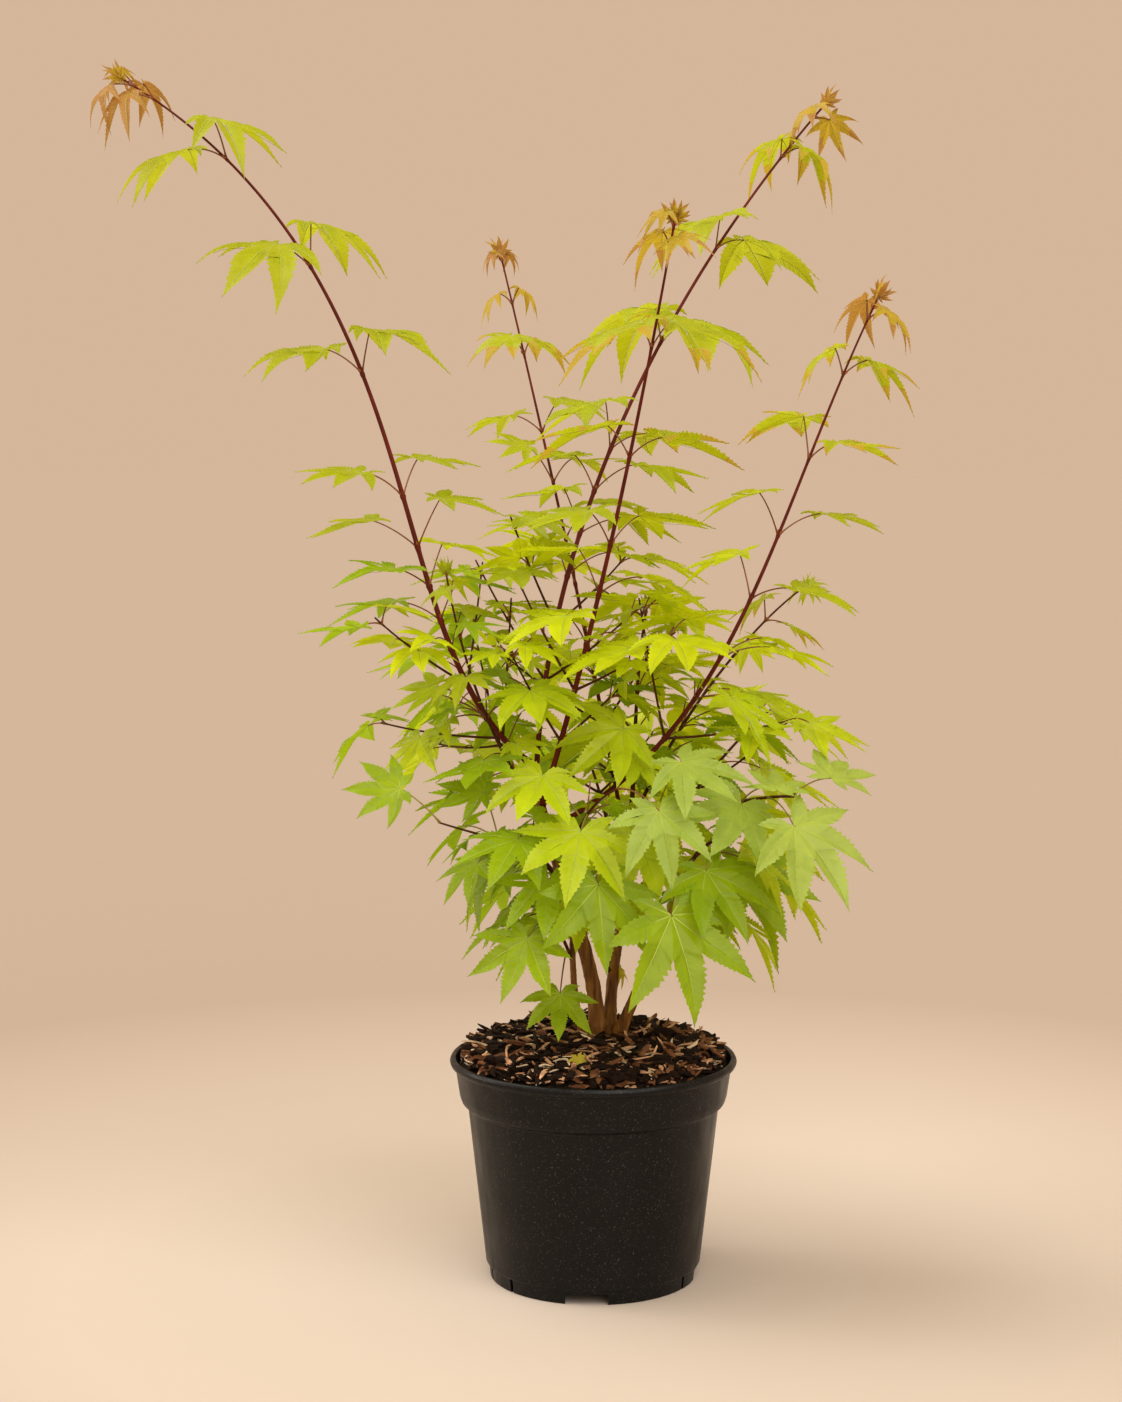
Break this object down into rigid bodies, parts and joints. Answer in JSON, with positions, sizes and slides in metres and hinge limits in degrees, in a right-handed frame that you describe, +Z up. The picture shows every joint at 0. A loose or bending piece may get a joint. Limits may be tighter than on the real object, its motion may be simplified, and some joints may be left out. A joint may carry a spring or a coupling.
{
  "type": "potted japanese maple",
  "caption": "Young japanese maple with several slender stems and lobed lime-green leaves, in a round black nursery pot topped with bark mulch.",
  "frame": {"origin": "middle of the pot's flat underside, on the ground", "axes": "+Z up along the pot's axis, -Y towards the front of the plant, +X to its right"},
  "size_m": [0.52, 0.3484, 0.784],
  "materials": {
    "pot": "matt black, lightly scuffed",
    "mulch": "rough bark chips",
    "bark": "smooth young bark",
    "foliage": "satin leaves on thin stalks and shoots"
  },
  "bodies": {
    "root": {"pot": "pot", "mulch": "mulch", "trunk": "bark", "bough_left": "bark", "bough_centre": "bark", "bough_right": "bark", "bough_low_left": "bark", "shoot_left": "foliage", "shoot_centre": "foliage", "shoot_tall_right": "foliage", "shoot_right": "foliage", "shoot_back_left": "foliage", "shoot_right_low": "foliage", "shoot_left_inner": "foliage", "leader": "foliage", "branch_right_low": "foliage", "branch_left_low": "foliage", "spray_front_left": "foliage", "spray_front": "foliage", "spray_front_right": "foliage", "spray_back_left": "foliage", "spray_back": "foliage", "spray_back_right": "foliage", "spray_low_back": "foliage", "spray_right": "foliage"}
  },
  "joints": []
}
